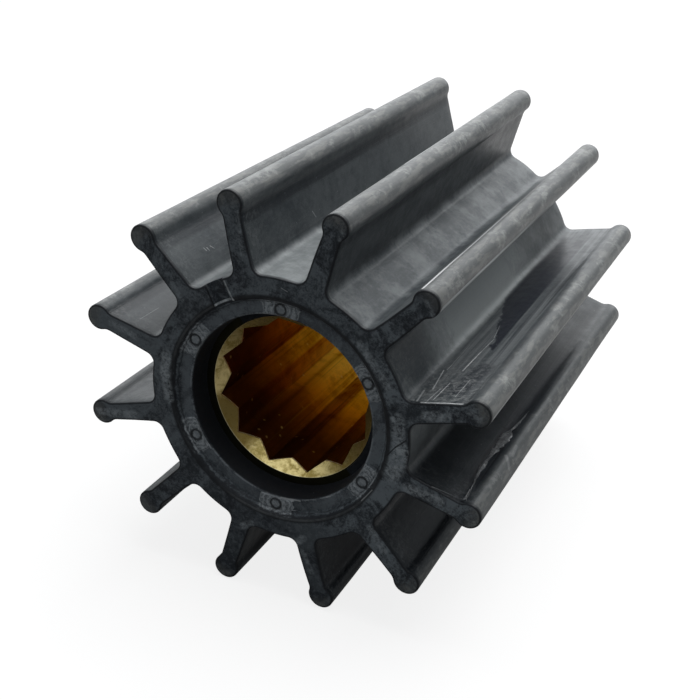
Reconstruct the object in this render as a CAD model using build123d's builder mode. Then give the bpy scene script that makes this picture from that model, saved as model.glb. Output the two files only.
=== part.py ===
"""Twelve-bladed rubber pump impeller, moulded onto a splined brass insert.

The impeller lies on two of its blades, as it would on a bench. Its axis runs
along Y, its marked front end faces -Y, and the origin is on the surface it
lies on, midway along it. All sizes are in millimetres and all angles in
degrees, counter-clockwise from +X as seen from the front.
"""
import os
from math import cos, radians, sin

from build123d import *

# Overall size
tip_diameter = 95.0
impeller_length = 114.0

# Blades
blade_count = 12
bulb_diameter = 5.8
blade_neck_width = 3.9
blade_root_width = 4.9
neck_fillet = 2.4
root_fillet = 2.2

# Rubber hub
hub_diameter = 60.0
end_edge_chamfer = 0.3

# Recessed ring in each end of the hub
recess_diameter = 50.4
recess_floor_diameter = 48.0
recess_depth = 1.65
recess_edge_chamfer = 0.3

# Mouth from the ring down to the insert, with the draft of its core
mouth_diameter = 42.2
mouth_draft = 0.6
mouth_edge_chamfer = 0.4

# Core pads and the marks of the pins in them, front end only
pad_count = 6
pad_arc = 22.0
pad_height = 0.5
pad_overlap = 0.2
pin_mark_diameter = 2.3
pin_mark_groove = 0.3
pin_mark_depth = 0.3
pin_mark_shift = 0.3

# Notch across the front end of the hub, so many blade pitches round from the first blade
notch_width = 4.7
notch_depth = 1.0
notch_pitches = 6.5

# Skin of rubber that crept over part of the insert's front face
skin_start_angle = -43.0
skin_arc = 170.0
skin_thickness = 0.6
skin_setback = 0.15

# Brass insert, bonded into the hub
insert_diameter = 44.0
insert_setback = 7.0
bond_film = 0.04

# Grooves round the insert that key the rubber to it
key_groove_count = 2
key_groove_width = 6.0
key_groove_depth = 0.8

# Twelve-point bore: two hexagons, one turned against the other by half a side
bore_sides = 6
bore_across_corners = 36.0
bore_turn = -2.4
corner_round = 0.25
tooth_round = 0.8
countersink_diameter = 37.5

# How far a cut runs out past the surface that it opens, and how close two corners count as one place
cut_past = 1.0
same_place = 0.01

# Places worked out from the sizes
blade_pitch = 360 / blade_count
first_blade_angle = -90 + blade_pitch / 2
hub_radius = hub_diameter / 2
bulb_radius = bulb_diameter / 2
bulb_circle_radius = tip_diameter / 2 - bulb_radius
axis_height = bulb_circle_radius * cos(radians(blade_pitch / 2)) + bulb_radius
half_length = impeller_length / 2

recess_radius = recess_diameter / 2
recess_floor_radius = recess_floor_diameter / 2
mouth_radius = mouth_diameter / 2
mouth_bottom_radius = mouth_radius - mouth_draft
insert_radius = insert_diameter / 2
insert_half_length = half_length - insert_setback
countersink_radius = countersink_diameter / 2

notch_angle = first_blade_angle + notch_pitches * blade_pitch
pin_circle_radius = (recess_floor_radius + mouth_radius) / 2 + pin_mark_shift
bore_angle = first_blade_angle + bore_turn
half_side_turn = 180 / bore_sides

# The axis of the impeller, and the planes that the sections are drawn on
axis_point = (0, 0, axis_height)
impeller_axis = Axis(axis_point, (0, 1, 0))
long_section = Plane(origin=axis_point, x_dir=(1, 0, 0), z_dir=(0, 0, 1))
middle = Plane(origin=axis_point, x_dir=(1, 0, 0), z_dir=(0, -1, 0))
front_face = middle.offset(half_length)
pad_top = middle.offset(half_length - recess_depth + pad_height)
ring_floor = middle.offset(half_length - recess_depth)


def insert_outline(grow):
    """Half section of the insert's outside, from end to end, grown by the film."""
    radius = insert_radius + grow
    groove_radius = insert_radius - key_groove_depth + grow
    end = insert_half_length + grow
    half_groove = key_groove_width / 2 - grow
    spacing = 2 * insert_half_length / (key_groove_count + 1)
    points = [(0, -end), (radius, -end)]
    for number in range(key_groove_count):
        centre = (number + 1) * spacing - insert_half_length
        points += [
            (radius, centre - half_groove),
            (groove_radius, centre - half_groove),
            (groove_radius, centre + half_groove),
            (radius, centre + half_groove),
        ]
    points += [(radius, end), (0, end)]
    return points


def radial_plane(angle):
    """Half plane through the axis at an angle: x is the radius, y runs along the axis."""
    across, up = cos(radians(angle)), sin(radians(angle))
    return Plane(origin=axis_point, x_dir=(across, 0, up), z_dir=(-up, 0, across))


# Rubber impeller: hub and blades in one moulding
with BuildPart() as rubber_impeller:
    with BuildSketch(middle) as blade_section:
        Circle(hub_radius)
        with PolarLocations(0, blade_count, start_angle=first_blade_angle):
            Polygon(
                (hub_radius - root_fillet, -blade_root_width / 2),
                (bulb_circle_radius, -blade_neck_width / 2),
                (bulb_circle_radius, blade_neck_width / 2),
                (hub_radius - root_fillet, blade_root_width / 2),
                align=None,
            )
        with PolarLocations(bulb_circle_radius, blade_count, start_angle=first_blade_angle):
            Circle(bulb_radius)
        corners = blade_section.vertices().group_by(lambda corner: round(corner.center().length, 2))
        fillet(corners[0], root_fillet)
        necks = blade_section.vertices().filter_by(
            lambda corner: bulb_circle_radius - bulb_radius < corner.center().length < bulb_circle_radius
        )
        fillet(necks, neck_fillet)
    extrude(amount=half_length, both=True)
    ends = rubber_impeller.faces().filter_by(Axis.Y)
    chamfer(ends.edges(), end_edge_chamfer)

    # Recessed ring and mouth, the same at both ends
    with BuildSketch(long_section) as end_recess:
        Polygon(
            (0, -half_length - recess_depth),
            (recess_radius + 2 * recess_edge_chamfer, -half_length - recess_depth),
            (recess_radius + 2 * recess_edge_chamfer, -half_length),
            (recess_radius, -half_length),
            (recess_floor_radius, recess_depth - half_length),
            (mouth_radius, recess_depth - half_length),
            (mouth_bottom_radius, -insert_half_length),
            (0, -insert_half_length),
            align=None,
        )
        rim = end_recess.vertices().filter_by(lambda corner: abs(corner.X - recess_radius) < same_place)
        chamfer(rim, recess_edge_chamfer)
        lip = end_recess.vertices().filter_by(lambda corner: abs(corner.X - mouth_radius) < same_place)
        chamfer(lip, mouth_edge_chamfer)
        mirror(about=Plane.XZ)
    revolve(axis=impeller_axis, mode=Mode.SUBTRACT)

    # Cavity that the insert fills
    with BuildSketch(long_section):
        Polygon(*insert_outline(bond_film), align=None)
    revolve(axis=impeller_axis, mode=Mode.SUBTRACT)

    # Core pads in the front ring, each with the mark of its pin
    with BuildSketch(ring_floor):
        with PolarLocations(0, pad_count, start_angle=-90 - pad_arc / 2):
            with BuildLine():
                inner = CenterArc((0, 0), mouth_radius + mouth_edge_chamfer, 0, pad_arc)
                outer = CenterArc((0, 0), recess_floor_radius + pad_overlap, 0, pad_arc)
                Line(inner @ 0, outer @ 0)
                Line(inner @ 1, outer @ 1)
            make_face()
    extrude(amount=pad_height)
    with BuildSketch(pad_top):
        with PolarLocations(pin_circle_radius, pad_count, start_angle=-90):
            Circle(pin_mark_diameter / 2)
            Circle(pin_mark_diameter / 2 - pin_mark_groove, mode=Mode.SUBTRACT)
    extrude(amount=-pin_mark_depth, mode=Mode.SUBTRACT)

    # Notch from the ring out to the hub's side
    with BuildSketch(front_face):
        with PolarLocations((recess_radius + hub_radius) / 2, 1, start_angle=notch_angle):
            Rectangle(hub_radius - recess_radius + 2 * cut_past, notch_width)
    extrude(amount=-notch_depth, mode=Mode.SUBTRACT)

    # Skin over part of the insert's front face, one with the mouth's wall
    with BuildSketch(radial_plane(skin_start_angle)):
        with Locations((countersink_radius + skin_setback, -insert_half_length - bond_film)):
            Rectangle(
                mouth_bottom_radius - countersink_radius - skin_setback + mouth_draft,
                skin_thickness,
                align=(Align.MIN, Align.MAX),
            )
    revolve(axis=Axis(axis_point, (0, -1, 0)), revolution_arc=skin_arc)

rubber_impeller.part.label = "rubber_impeller"

# Brass insert with a twelve-point bore
with BuildPart() as spline_insert:
    with BuildSketch(long_section):
        Polygon(*insert_outline(0), align=None)
    revolve(axis=impeller_axis)

    with BuildSketch(middle) as bore_section:
        for turn in (0, half_side_turn):
            RegularPolygon(bore_across_corners / 2, bore_sides, rotation=bore_angle + turn)
        by_radius = bore_section.vertices().group_by(lambda corner: round(corner.center().length, 2))
        fillet(by_radius[-1], corner_round)
        teeth = bore_section.vertices().group_by(lambda corner: round(corner.center().length, 2))[0]
        fillet(teeth, tooth_round)
    extrude(amount=half_length, both=True, mode=Mode.SUBTRACT)

    # Countersink at each end, which cuts the teeth back at 45 degrees
    with BuildSketch(long_section):
        Polygon(
            (0, -insert_half_length - cut_past),
            (countersink_radius + cut_past, -insert_half_length - cut_past),
            (0, countersink_radius - insert_half_length),
            align=None,
        )
        mirror(about=Plane.XZ)
    revolve(axis=impeller_axis, mode=Mode.SUBTRACT)

spline_insert.part.label = "spline_insert"

os.makedirs("parts", exist_ok=True)
for piece in (rubber_impeller, spline_insert):
    export_step(piece.part, f"parts/{piece.part.label}.step")
    print(piece.part.label, len(piece.part.solids()), round(piece.part.volume, 1), piece.part.bounding_box())
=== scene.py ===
# %% [markdown]
# A rubber pump impeller on a brass insert, dressed in Blender.
#
# The solids come in as a fixed frame: a rubber moulding with twelve blades, and the brass insert that it is
# moulded onto. This file models the rubber again with its softer edges, its leaning blades and its moulding
# marks, gives both pieces their finish, and sets up a plain studio. Angles are in degrees, counter-clockwise
# from +X as seen from the front, which faces -Y.

import random
from math import atan, atan2, cos, degrees, hypot, radians, sin, sqrt, tan

import bmesh
import bpy
from mathutils import Matrix, Vector
from mathutils.noise import noise_vector, seed_set


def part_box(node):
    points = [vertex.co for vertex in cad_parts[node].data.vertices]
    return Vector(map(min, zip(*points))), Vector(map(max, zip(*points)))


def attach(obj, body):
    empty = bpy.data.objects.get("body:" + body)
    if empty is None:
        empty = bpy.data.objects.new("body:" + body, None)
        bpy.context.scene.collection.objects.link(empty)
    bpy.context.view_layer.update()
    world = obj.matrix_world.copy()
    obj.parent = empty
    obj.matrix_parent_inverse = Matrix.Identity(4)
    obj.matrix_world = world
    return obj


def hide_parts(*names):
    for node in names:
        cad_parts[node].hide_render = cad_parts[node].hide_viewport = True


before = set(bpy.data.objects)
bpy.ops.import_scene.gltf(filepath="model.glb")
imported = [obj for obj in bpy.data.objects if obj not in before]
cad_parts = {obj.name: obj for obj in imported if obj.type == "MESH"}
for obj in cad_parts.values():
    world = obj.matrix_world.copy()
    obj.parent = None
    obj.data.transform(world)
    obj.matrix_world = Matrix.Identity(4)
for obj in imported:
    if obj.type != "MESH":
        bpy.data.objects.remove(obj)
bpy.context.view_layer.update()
rubber_low, rubber_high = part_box("rubber_impeller")
insert_low, insert_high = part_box("spline_insert")

# %% [markdown]
# The sizes follow the frame where it says them: the length, the height of the axis and the insert. The rest
# are the sizes that the mould gives to blades, beads and rings. They are written in millimetres and turned
# into metres by one factor, because a blade 3.9 thick is easier to picture than one 0.0039 thick.

# %% Sizes of the moulding
MM = 0.001
SPIN_AXIS = (0, 1, 0)  # spin turns against the right-hand rule, so this is counter-clockwise from the front

half_length = rubber_high.y / MM
insert_half_length = insert_high.y / MM
insert_radius = (insert_high.x - insert_low.x) / 2 / MM
axis_height = (insert_high.z + insert_low.z) / 2 / MM

blade_count = 12
blade_pitch = 360 / blade_count
first_blade_angle = 15
bead_radius = 2.9
bead_circle_radius = 44.6
hub_radius = 30.0
neck_half_width = 1.95
root_half_width = 2.45
neck_fillet = 2.4
root_fillet = 2.2
print("axis at", round(axis_height, 3), "mm, length", 2 * half_length, "mm")

# %% [markdown]
# Places on a round thing are easiest to say by radius and angle. `spot` turns such a place into metres in the
# frame, and `polar` reads one back.

# %% Places about the axis
def spot(radius, angle, along):
    """A place given by radius and angle about the impeller's axis, and by its y, in millimetres."""
    return Vector((radius * cos(radians(angle)), along, axis_height + radius * sin(radians(angle)))) * MM


def polar(point):
    """Radius, angle and y of a place in metres, in millimetres and degrees."""
    across, up = point.x / MM, point.z / MM - axis_height
    return hypot(across, up), degrees(atan2(up, across)), point.y / MM


def turn_between(angle, other):
    """The turn from one angle to another, from 0 to 180 degrees."""
    return abs((angle - other + 180) % 360 - 180)


# %% [markdown]
# Blender's operators act on whatever is selected, so each step first lets everything go, and then takes hold
# of vertices, edges or faces by where they are. These few helpers do that. Every later cell uses them.

# %% Helpers for selecting and editing
def take(piece):
    """Select one object alone and make it the active one."""
    bpy.ops.object.select_all(action="DESELECT")
    piece.select_set(True)
    bpy.context.view_layer.objects.active = piece


def edit(piece):
    """Open one object in edit mode with nothing selected."""
    take(piece)
    bpy.ops.object.mode_set(mode="EDIT")
    bpy.ops.mesh.select_all(action="DESELECT")


def close():
    bpy.ops.object.mode_set(mode="OBJECT")


def pick(piece, kind, test):
    """In edit mode, select only the vertices, edges or faces that pass the test. Returns how many."""
    bpy.ops.mesh.select_mode(type=kind)
    bpy.ops.mesh.select_all(action="DESELECT")
    mesh = bmesh.from_edit_mesh(piece.data)
    parts = {"VERT": mesh.verts, "EDGE": mesh.edges, "FACE": mesh.faces}[kind]
    found = [part for part in parts if test(part)]
    for part in found:
        part.select_set(True)
    bmesh.update_edit_mesh(piece.data)
    return len(found)


def start_point(name, place):
    """A new mesh object of one selected vertex, open in edit mode: a plane shrunk to its centre."""
    bpy.ops.object.select_all(action="DESELECT")
    bpy.ops.mesh.primitive_plane_add(size=MM)
    piece = bpy.context.object
    piece.name = name
    bpy.ops.object.mode_set(mode="EDIT")
    bpy.ops.mesh.select_mode(type="VERT")
    bpy.ops.mesh.select_all(action="SELECT")
    bpy.ops.mesh.merge(type="CENTER")
    bpy.ops.transform.translate(value=place)
    return piece


def draw_line(start, end, steps=1):
    """Extrude the selected vertex by the way from start to end, in equal steps."""
    stride = (end - start) / steps
    for _ in range(steps):
        bpy.ops.mesh.extrude_vertices_move(TRANSFORM_OT_translate={"value": stride})


def draw_arc(centre, turn, steps):
    """Spin the selected vertices about a line along Y, counter-clockwise from the front if turn > 0."""
    bpy.ops.mesh.spin(steps=steps, angle=radians(turn), center=centre, axis=SPIN_AXIS)


# %% [markdown]
# The outline of the moulding is one blade twelve times over: a round bead at the tip, a hollow neck, two
# nearly straight flanks and a fillet into the hub. It could be cut out of a disc with booleans, but then the
# arcs come out ragged. Here one vertex is walked along the outline like a pen: `spin` draws the arcs about
# their own centres and `extrude` draws the flank, so that every arc runs smoothly into the next line.

# %% Centres of the fillets
taper = atan((root_half_width - neck_half_width) / (bead_circle_radius - hub_radius + root_fillet))
flank_at_axis = neck_half_width + bead_circle_radius * tan(taper)


def fillet_centre(circle_middle, reach, radius, side):
    """Centre, as (outward, sideways), of a fillet between the flank and a circle around (circle_middle, 0).

    `reach` is the way from the circle's middle to the fillet's centre. `side` picks one of the two centres.
    """
    height = flank_at_axis + radius / cos(taper)
    a = 1 + tan(taper) ** 2
    half_b = circle_middle + height * tan(taper)
    c = circle_middle ** 2 + height ** 2 - reach ** 2
    outward = (half_b + side * sqrt(half_b ** 2 - a * c)) / a
    return outward, height - outward * tan(taper)


neck_centre = fillet_centre(bead_circle_radius, bead_radius + neck_fillet, neck_fillet, -1)
root_centre = fillet_centre(0, hub_radius + root_fillet, root_fillet, 1)
bead_turn = degrees(atan2(neck_centre[1], neck_centre[0] - bead_circle_radius))
neck_turn = bead_turn - 90 + degrees(taper)
root_angle = degrees(atan2(root_centre[1], root_centre[0]))
root_turn = 90 - degrees(taper) - root_angle
print("turns: bead", round(bead_turn, 1), "neck", round(neck_turn, 1), "root", round(root_turn, 1))

# %% [markdown]
# The pen starts at the tip of the first blade and walks down one flank, then starts again at the tip for the
# other. Each step is about 1 mm, so that the flanks have vertices to bend and wobble later. `spin` then
# repeats the blade eleven times around the axis, and merging the doubles closes the outline.

# %% Draw the outline
def blade_spot(outward, sideways):
    """A place in the front plane, measured along the first blade and across it."""
    return spot(hypot(outward, sideways), first_blade_angle + degrees(atan2(sideways, outward)), -half_length)


tip = blade_spot(bead_circle_radius + bead_radius, 0)
impeller = start_point("impeller_rubber", tip)
for side in (1, -1):
    pick(impeller, "VERT", lambda vert: (vert.co - tip).length < 0.1 * MM)
    draw_arc(blade_spot(bead_circle_radius, 0), side * bead_turn, 14)
    draw_arc(blade_spot(neck_centre[0], side * neck_centre[1]), -side * neck_turn, 3)
    flank_start = blade_spot(neck_centre[0] - neck_fillet * sin(taper),
                             side * (neck_centre[1] - neck_fillet * cos(taper)))
    flank_end = blade_spot(root_centre[0] - root_fillet * sin(taper),
                           side * (root_centre[1] - root_fillet * cos(taper)))
    draw_line(flank_start, flank_end, 10)
    draw_arc(blade_spot(root_centre[0], side * root_centre[1]), -side * root_turn, 6)
    draw_arc(spot(0, 0, -half_length), side * (blade_pitch / 2 - root_angle), 4)

bpy.ops.mesh.select_all(action="SELECT")
bpy.ops.mesh.spin(steps=blade_count - 1, dupli=True, angle=radians(360 - blade_pitch),
                  center=spot(0, 0, -half_length), axis=SPIN_AXIS)
bpy.ops.mesh.select_all(action="SELECT")
bpy.ops.mesh.remove_doubles(threshold=0.02 * MM)
close()
print("outline:", len(impeller.data.vertices), "vertices,", len(impeller.data.edges), "edges")

# %% [markdown]
# The mould is parted at the ends, so the walls are drawn straight along the axis. The wall is extruded in
# short lengths instead of one, again to leave vertices for bending. Each end is closed with one flat face
# for a moment: a bevel rounds the edge all round it, and a narrow inset leaves a band that the finish uses
# for the dark rim. Then the flat face goes, because the middle of the end isn't flat.

# %% Walls and rounded ends
wall_steps = 38
edge_round = 0.3
rim_band = 0.24

wall_step = (0, 2 * half_length / wall_steps * MM, 0)


def at_end(end):
    """A test for the edges that lie in the plane of one end."""
    return lambda edge: all(abs(vert.co.y - end * half_length * MM) < 0.01 * MM for vert in edge.verts)


def is_end_face(face):
    """The flat face over a whole end has hundreds of corners, and every other face has a few."""
    return len(face.verts) > 100


edit(impeller)
bpy.ops.mesh.select_all(action="SELECT")
for _ in range(wall_steps):
    bpy.ops.mesh.extrude_region_move(TRANSFORM_OT_translate={"value": wall_step})
for end in (-1, 1):
    pick(impeller, "EDGE", at_end(end))
    bpy.ops.mesh.edge_face_add()
    pick(impeller, "EDGE", at_end(end))
    bpy.ops.mesh.bevel(offset=edge_round * MM, segments=3, affect="EDGES", clamp_overlap=False)
    pick(impeller, "FACE", is_end_face)
    bpy.ops.mesh.inset(thickness=rim_band * MM, depth=0)
    bpy.ops.mesh.delete(type="FACE")
close()
print("walls:", len(impeller.data.polygons), "faces")

# %% [markdown]
# Everything inside the end rings is round: a sloped step down to the ring, its floor, a rounded lip, the
# mouth that narrows to the insert, and the pocket that the insert sits in. That is a lathe job. The section
# is drawn with the same pen in a plane through the axis, its corners are rounded with a vertex bevel, and
# one full spin turns it. It starts where the rubber skin over the insert starts, so that a row of faces
# begins and ends exactly there.

# %% Section of the rings, the mouths and the pocket
ring_edge_radius = 25.2
ring_floor_radius = 24.0
ring_depth = 1.65
mouth_radius = 21.1
mouth_draft = 0.6
lip_round = 0.4
pad_inner_radius = mouth_radius + lip_round
bond_film = 0.04
skin_thickness = 0.6
skin_start_angle = -43.0
skin_arc = 170.0
lathe_steps = 144

end_section = [
    (ring_edge_radius + 1.0, -half_length),
    (ring_edge_radius, -half_length),
    (ring_floor_radius, ring_depth - half_length),
    (pad_inner_radius + 0.2, ring_depth - half_length),
    (mouth_radius, ring_depth - half_length),
    (mouth_radius - mouth_draft * 0.9, -insert_half_length - skin_thickness),
    (mouth_radius - mouth_draft, -insert_half_length - bond_film),
    (insert_radius + bond_film, -insert_half_length - bond_film),
]
section = end_section + [(radius, -along) for radius, along in reversed(end_section)]
rings = start_point("rings", spot(section[0][0], skin_start_angle, section[0][1]))
for (radius, along), (next_radius, next_along) in zip(section, section[1:]):
    draw_line(spot(radius, skin_start_angle, along), spot(next_radius, skin_start_angle, next_along))
# The corners that are rounded, by their place in the section, and by how much
for corner, round_size in ((1, 0.5), (2, 0.25), (4, lip_round)):
    for radius, along in (section[corner], section[-1 - corner]):
        place = spot(radius, skin_start_angle, along)
        pick(rings, "VERT", lambda vert: (vert.co - place).length < 0.02 * MM)
        bpy.ops.mesh.bevel(offset=round_size * MM, segments=3, affect="VERTICES")
bpy.ops.mesh.select_all(action="SELECT")
draw_arc(spot(0, 0, 0), 360, lathe_steps)
bpy.ops.mesh.select_all(action="SELECT")
bpy.ops.mesh.remove_doubles(threshold=0.01 * MM)
close()
print("rings:", len(rings.data.polygons), "faces")

# %% [markdown]
# The six pads in the front ring are where the core of the mould was held. They are not crisp: the rubber
# flowed round them. So the floor of the ring is divided finely, and each pad is lifted half a millimetre with
# proportional editing, which leaves it soft shoulders and runs it into the slope.

# %% Pads
pad_angles = [90 + 60 * number for number in range(6)]
pad_half_arc = 9.5
pad_height = 0.5
pad_shoulder = 0.7

edit(rings)


def on_front_floor(place, inner_radius, outer_radius):
    radius, angle, along = polar(place)
    return abs(along - (ring_depth - half_length)) < 0.08 and inner_radius < radius < outer_radius


def on_pad(vert):
    near_pad = min(turn_between(polar(vert.co)[1], pad) for pad in pad_angles) < pad_half_arc
    return near_pad and on_front_floor(vert.co, pad_inner_radius + 0.1, ring_floor_radius + 0.2)


def on_wide_floor(face):
    return on_front_floor(face.calc_center_median(), pad_inner_radius + 0.4, ring_floor_radius - 0.3)


print("floor faces:", pick(rings, "FACE", on_wide_floor))
bpy.ops.mesh.subdivide(number_cuts=3)
print("pad vertices:", pick(rings, "VERT", on_pad))
bpy.ops.transform.translate(
    value=(0, -pad_height * MM, 0), use_proportional_edit=True, use_proportional_connected=True,
    proportional_edit_falloff="SMOOTH", proportional_size=pad_shoulder * MM)

# %% [markdown]
# The skin over the insert is rubber that crept past the core: a few faces of the mouth's wall, drawn inwards
# over the face of the insert.

# %% Skin over the insert
skin_inner_radius = 18.9


def on_skin(face):
    radius, angle, along = polar(face.calc_center_median())
    on_wall = -insert_half_length - skin_thickness < along < -insert_half_length - bond_film
    return on_wall and radius < mouth_radius and (angle - skin_start_angle) % 360 < skin_arc


print("skin faces:", pick(rings, "FACE", on_skin))
shrink = skin_inner_radius / (mouth_radius - mouth_draft)
bpy.ops.mesh.extrude_region_move(TRANSFORM_OT_translate={"value": (0, 0, 0)})
bpy.ops.transform.resize(value=(shrink, 1, shrink), center_override=spot(0, 0, 0))
close()

# %% [markdown]
# Now the lathed form and the walls become one mesh. At each end the two rims lie in one plane, and `fill`
# lays the flat face between them. The mesh is then closed, and its normals can be turned outwards.

# %% Join the walls and the rings
take(impeller)
rings.select_set(True)
bpy.ops.object.join()
edit(impeller)


def open_rim(end):
    return lambda edge: len(edge.link_faces) == 1 and edge.verts[0].co.y * end > (half_length - 0.1) * MM


for end in (-1, 1):
    print("rim edges:", pick(impeller, "EDGE", open_rim(end)))
    bpy.ops.mesh.fill(use_beauty=True)
bpy.ops.mesh.select_all(action="SELECT")
bpy.ops.mesh.normals_make_consistent(inside=False)
open_edges = sum(len(edge.link_faces) != 2 for edge in bmesh.from_edit_mesh(impeller.data).edges)
close()
print("joined:", len(impeller.data.polygons), "faces, open edges:", open_edges)

# %% [markdown]
# A notch crosses the front face between two blades, and each pad carries the round mark of a mould pin.
# These cut across the faces that are there, so here booleans are the right tool. The cutters are a block
# with two rounded edges and six thin rings.

# %% Notch and pin marks
notch_angle = 120
notch_width = 4.7
notch_depth = 1.0
notch_block_length = 7
notch_corner_round = 0.6
pin_circle_radius = 22.85
pin_mark_radius = 1.2
pin_groove = 0.17
pad_top = ring_depth - pad_height - half_length
notch_way = (spot(1, notch_angle, 0) - spot(0, 0, 0)).normalized()


def cut_away(piece, cutter):
    """Take the cutter's form out of the piece, and remove the cutter."""
    take(piece)
    difference = piece.modifiers.new("cut", "BOOLEAN")
    difference.operation = "DIFFERENCE"
    difference.solver = "EXACT"
    difference.object = cutter
    bpy.ops.object.modifier_apply(modifier=difference.name)
    bpy.data.objects.remove(cutter)


def along_notch(edge):
    """The two edges of the notch's floor: inside the rubber, and running along the notch."""
    first, second = (vert.co for vert in edge.verts)
    inside = first.y > -half_length * MM and second.y > -half_length * MM
    return inside and abs((first - second).normalized().dot(notch_way)) > 0.9


bpy.ops.object.select_all(action="DESELECT")
bpy.ops.mesh.primitive_cube_add(size=1)
notch_block = bpy.context.object
notch_block.scale = (notch_block_length * MM, 2 * notch_depth * MM, notch_width * MM)
notch_block.rotation_euler = (0, radians(-notch_angle), 0)
notch_block.location = spot((ring_edge_radius + hub_radius) / 2, notch_angle, -half_length)
bpy.ops.object.transform_apply(location=True, rotation=True, scale=True)
edit(notch_block)
print("notch edges:", pick(notch_block, "EDGE", along_notch))
bpy.ops.mesh.bevel(offset=notch_corner_round * MM, segments=4, affect="EDGES")
close()
cut_away(impeller, notch_block)

pin_places = [spot(pin_circle_radius, pad_angle, pad_top) for pad_angle in pad_angles]
for pin_place in pin_places:
    bpy.ops.object.select_all(action="DESELECT")
    bpy.ops.mesh.primitive_torus_add(
        major_radius=pin_mark_radius * MM, minor_radius=pin_groove * MM, major_segments=28, minor_segments=8,
        rotation=(radians(90), 0, 0), location=pin_place)
    cut_away(impeller, bpy.context.object)
print("pin marks:", len(pin_places))

# %% [markdown]
# The rubber is rough round the pins, where it cooled last. The vertices there are moved a little at random,
# but not those of the marks themselves. After the steps above, the order of the vertices isn't the same in
# each run, and the random moves go by that order. So the vertices are sorted by place first.

# %% Rough pads
rough_reach = 4.4
roughness_height = 0.06


def to_nearest_pin(vert):
    return min((vert.co - place).length for place in pin_places) / MM


def on_rough_pad(vert):
    radius, _, along = polar(vert.co)
    on_top = along < pad_top + 0.3 and pad_inner_radius + 0.1 < radius < ring_edge_radius - 0.5
    return on_top and pin_mark_radius + 2 * pin_groove < to_nearest_pin(vert) < rough_reach


edit(impeller)
mesh = bmesh.from_edit_mesh(impeller.data)
for number, vert in enumerate(sorted(mesh.verts, key=lambda vert: tuple(vert.co))):
    vert.index = number
mesh.verts.sort()
bmesh.update_edit_mesh(impeller.data)
print("rough pad vertices:", pick(impeller, "VERT", on_rough_pad))
bpy.ops.transform.vertex_random(offset=roughness_height * MM, uniform=0.5, seed=4)
open_edges = sum(len(edge.link_faces) != 2 for edge in bmesh.from_edit_mesh(impeller.data).edges)
close()
print("cut:", len(impeller.data.polygons), "faces, open edges:", open_edges)

# %% [markdown]
# Rubber blades never stand quite true. Each blade's front end leans a few tenths of a millimetre outwards or
# to one side, and the lean fades towards the far end. The outline also wavers, as a moulded edge does. A
# lean for every blade is a table, and a soft selection for each would be slow, so the vertices are moved in
# one step: the further out along a blade and the nearer the front, the more they follow. The noise of the
# waver is given a seed, because it starts from the clock otherwise, and each run would differ.

# %% Lean of the blades
# Outward and counter-clockwise lean of each blade's front end, in millimetres, by the blade's angle
leans = {
    165: (0.22, 0.10), 135: (0.40, -0.24), 105: (0.09, -0.33), 75: (-0.33, -0.24), 45: (-0.45, 0.34),
    15: (-0.09, -0.21), -15: (0.14, 0.19), -45: (0.08, -0.10), -75: (-0.45, 0.70), -105: (-0.29, -0.14),
    -135: (0.36, 0.35), -165: (0.25, 0.05),
}

waver_height = 0.08
waver_fineness = 0.16
seed_set(3)

for vert in impeller.data.vertices:
    radius, angle, along = polar(vert.co)
    if radius > hub_radius - 0.5:
        place = Vector((vert.co.x, vert.co.y * 0.3, vert.co.z)) / MM * waver_fineness
        waver = noise_vector(place) * waver_height * MM
        vert.co += Vector((waver.x, 0, waver.z))
    if radius > hub_radius:
        blade = min(leans, key=lambda at: turn_between(angle, at))
        share = min(1, (radius - hub_radius) / (bead_circle_radius - hub_radius))
        follow = share * share * (half_length - along) / (2 * half_length)
        outward, sideways = leans[blade]
        outward_place = spot(outward * follow, blade, 0)
        sideways_place = spot(sideways * follow, blade + 90, 0)
        vert.co += outward_place + sideways_place - 2 * spot(0, 0, 0)

take(impeller)
bpy.ops.object.shade_smooth_by_angle(angle=radians(32))
print("leaning blades:", len(leans))

# %% [markdown]
# On the blade at -15 degrees the neck under the bead is torn: a ragged shred of flash stands along it. It is
# a small ring of vertices that is extruded along the neck in short steps. At each step it is moved to the
# next place on its line and made thinner or thicker, and at the end all of it is roughened.

# %% Shred of flash
# Places along the neck, and how wide the shred is there, in millimetres
shred_line = [
    ((42.0, -56.2, 37.25), 0.35), ((41.6, -50.3, 37.25), 0.45), ((40.9, -44.5, 37.3), 0.8),
    ((40.9, -39.5, 37.3), 0.7), ((41.0, -35.0, 37.3), 1.3), ((41.2, -31.0, 37.35), 2.2),
    ((41.3, -27.5, 37.4), 2.4), ((41.3, -24.6, 37.35), 0.7), ((41.85, -20.0, 37.2), 0.5),
    ((42.1, -14.0, 37.1), 0.2),
]
shred_thickness = 0.5
shred_roughness = 0.3
steps_between = 4
chance = random.Random(7)

bpy.ops.object.select_all(action="DESELECT")
bpy.ops.mesh.primitive_circle_add(vertices=8, radius=0.5 * MM, fill_type="NGON", rotation=(radians(90), 0, 0),
                                  location=Vector(shred_line[0][0]) * MM)
shred = bpy.context.object
bpy.ops.object.transform_apply(location=True, rotation=True, scale=True)
edit(shred)
bpy.ops.mesh.select_all(action="SELECT")
width_now, thickness_now = 1.0, 1.0
for (start, width), (end, next_width) in zip(shred_line, shred_line[1:]):
    for step in range(steps_between):
        stride = (Vector(end) - Vector(start)) / steps_between * MM
        bpy.ops.mesh.extrude_region_move(TRANSFORM_OT_translate={"value": stride})
        part = (step + 1) / steps_between
        new_width = (width + (next_width - width) * part) * chance.uniform(0.6, 1.4)
        new_thickness = shred_thickness * chance.uniform(0.5, 1.5)
        bpy.ops.transform.resize(value=(new_width / width_now, 1, new_thickness / thickness_now))
        width_now, thickness_now = new_width, new_thickness
bpy.ops.mesh.select_all(action="SELECT")
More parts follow.
